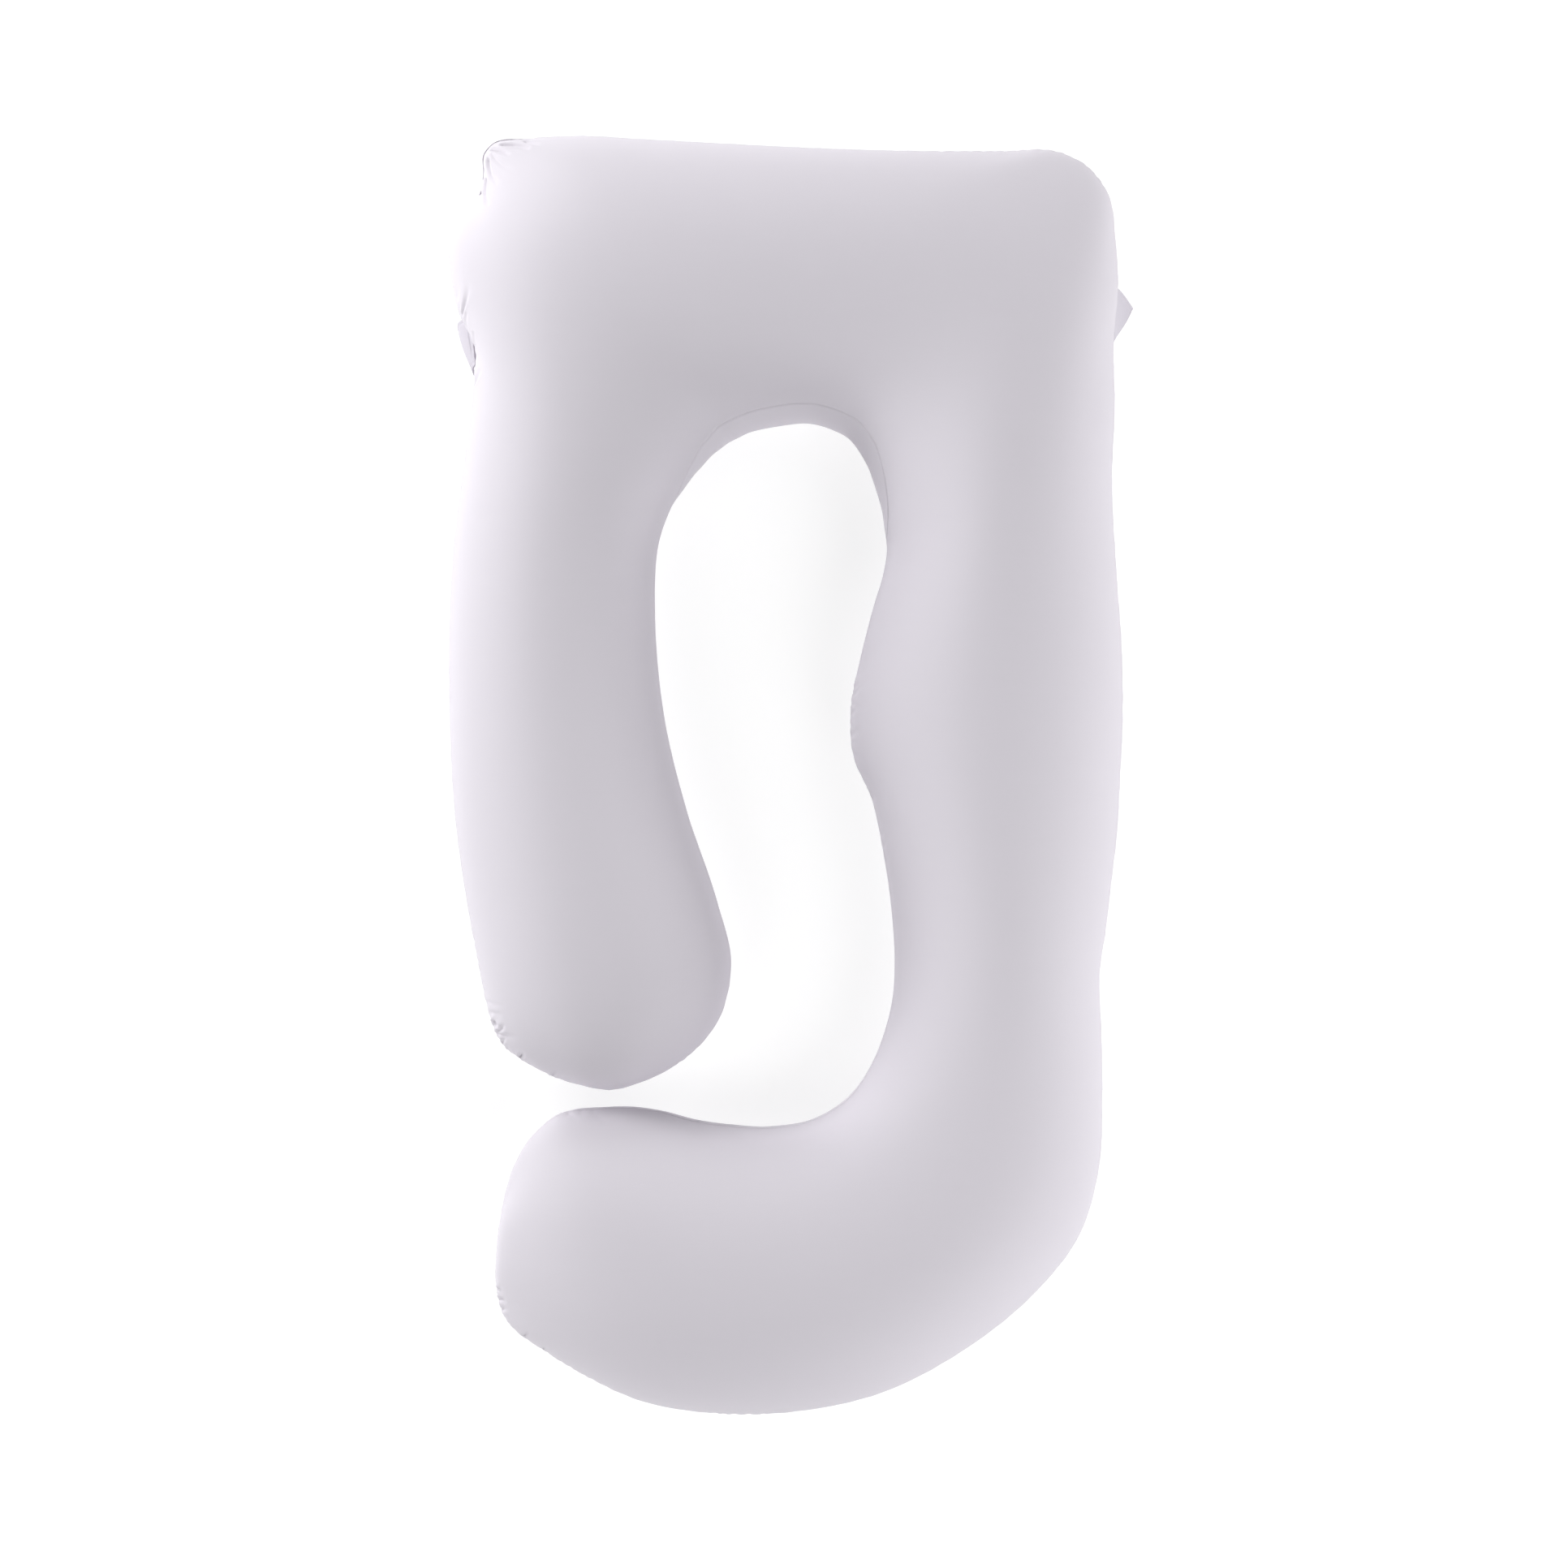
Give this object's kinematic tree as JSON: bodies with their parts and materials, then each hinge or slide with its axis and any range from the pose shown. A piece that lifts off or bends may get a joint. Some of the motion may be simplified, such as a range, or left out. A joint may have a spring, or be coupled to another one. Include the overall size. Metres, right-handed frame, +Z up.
{
  "type": "body pillow",
  "caption": "Long filled body pillow, bent into a J around an open middle, with a wide head, a short leg, a long leg and a curled foot.",
  "frame": {"origin": "on the resting plane, under the middle of the object's box", "axes": "+Z up out of the front panel, +Y towards the head, +X towards the long leg"},
  "size_m": [0.7772, 1.4502, 0.1791],
  "materials": {
    "cover": "smooth, closely woven cotton sateen in a pale grey lavender"
  },
  "bodies": {
    "root": {"pillow": "cover", "right_tab": "cover", "left_tab": "cover"}
  },
  "joints": []
}
